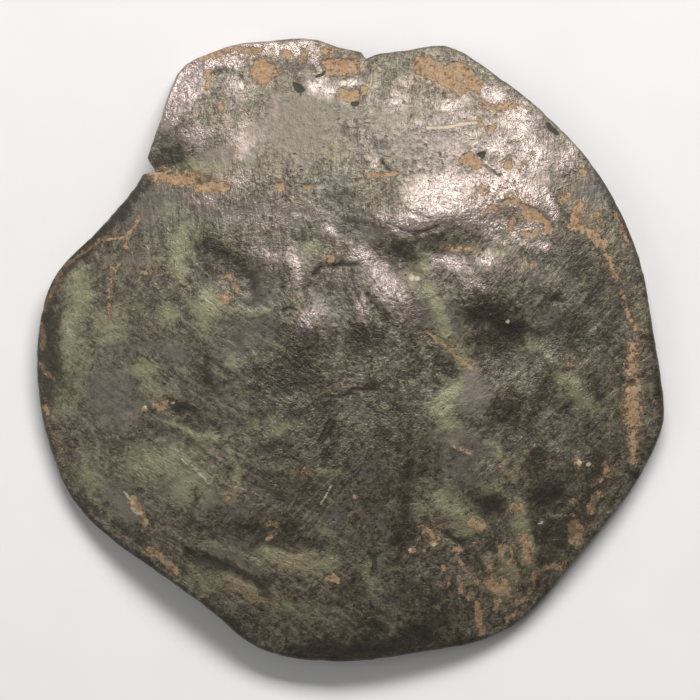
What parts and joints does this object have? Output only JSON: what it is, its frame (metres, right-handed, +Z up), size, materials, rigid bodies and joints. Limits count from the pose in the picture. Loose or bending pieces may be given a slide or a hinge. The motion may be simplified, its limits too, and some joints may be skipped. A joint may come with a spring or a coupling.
{
  "type": "trachy coin",
  "caption": "Worn cup-shaped struck coin of dark patinated copper alloy, lying on its rim with the convex side up, with an uneven split edge.",
  "frame": {"origin": "on the resting surface, under the middle of the coin's box", "axes": "+Z up, through the convex side; +Y to the top of the device in the picture; +X to the right"},
  "size_m": [0.029, 0.0288, 0.0046],
  "materials": {
    "patinated_copper_alloy": "dark brown to olive burial patina, semi-gloss and finely wrinkled, worn paler on the high places, with tan earth in the hollows"
  },
  "bodies": {
    "root": {"coin": "patinated_copper_alloy"}
  },
  "joints": []
}
